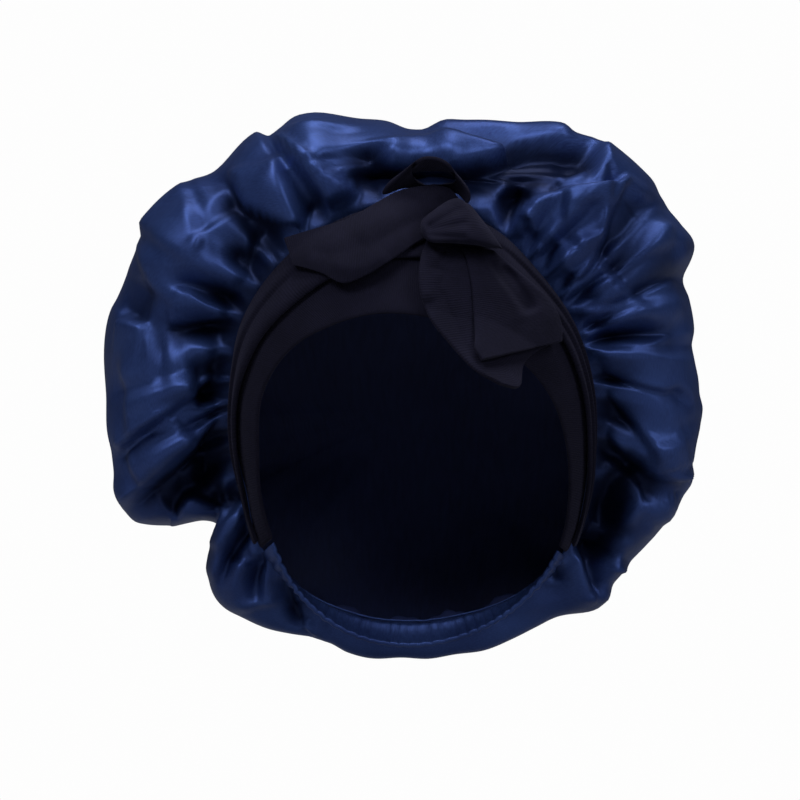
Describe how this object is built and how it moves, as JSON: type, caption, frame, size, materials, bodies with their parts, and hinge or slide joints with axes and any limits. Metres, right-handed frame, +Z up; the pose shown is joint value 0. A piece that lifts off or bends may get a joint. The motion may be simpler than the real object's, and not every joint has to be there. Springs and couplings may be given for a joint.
{
  "type": "sleep bonnet",
  "caption": "Full satin sleep bonnet, gathered into a wide jersey head band whose ties are laid over it and knotted off centre above the brow.",
  "frame": {"origin": "centre of the head hollow, level with the wearer's ears", "axes": "+Z up towards the wearer's crown, -Y the way that the face looks, +X towards the wearer's left ear"},
  "size_m": [0.3124, 0.253, 0.2845],
  "materials": {
    "satin": "smooth, glossy satin weave",
    "jersey": "matt, finely ribbed knit"
  },
  "bodies": {
    "root": {"satin_crown": "satin", "head_band": "jersey", "nape_casing": "satin", "wrap_left": "jersey", "wrap_right": "jersey", "tail_left": "jersey", "tail_right": "jersey", "loop": "jersey", "knot": "jersey"}
  },
  "joints": []
}
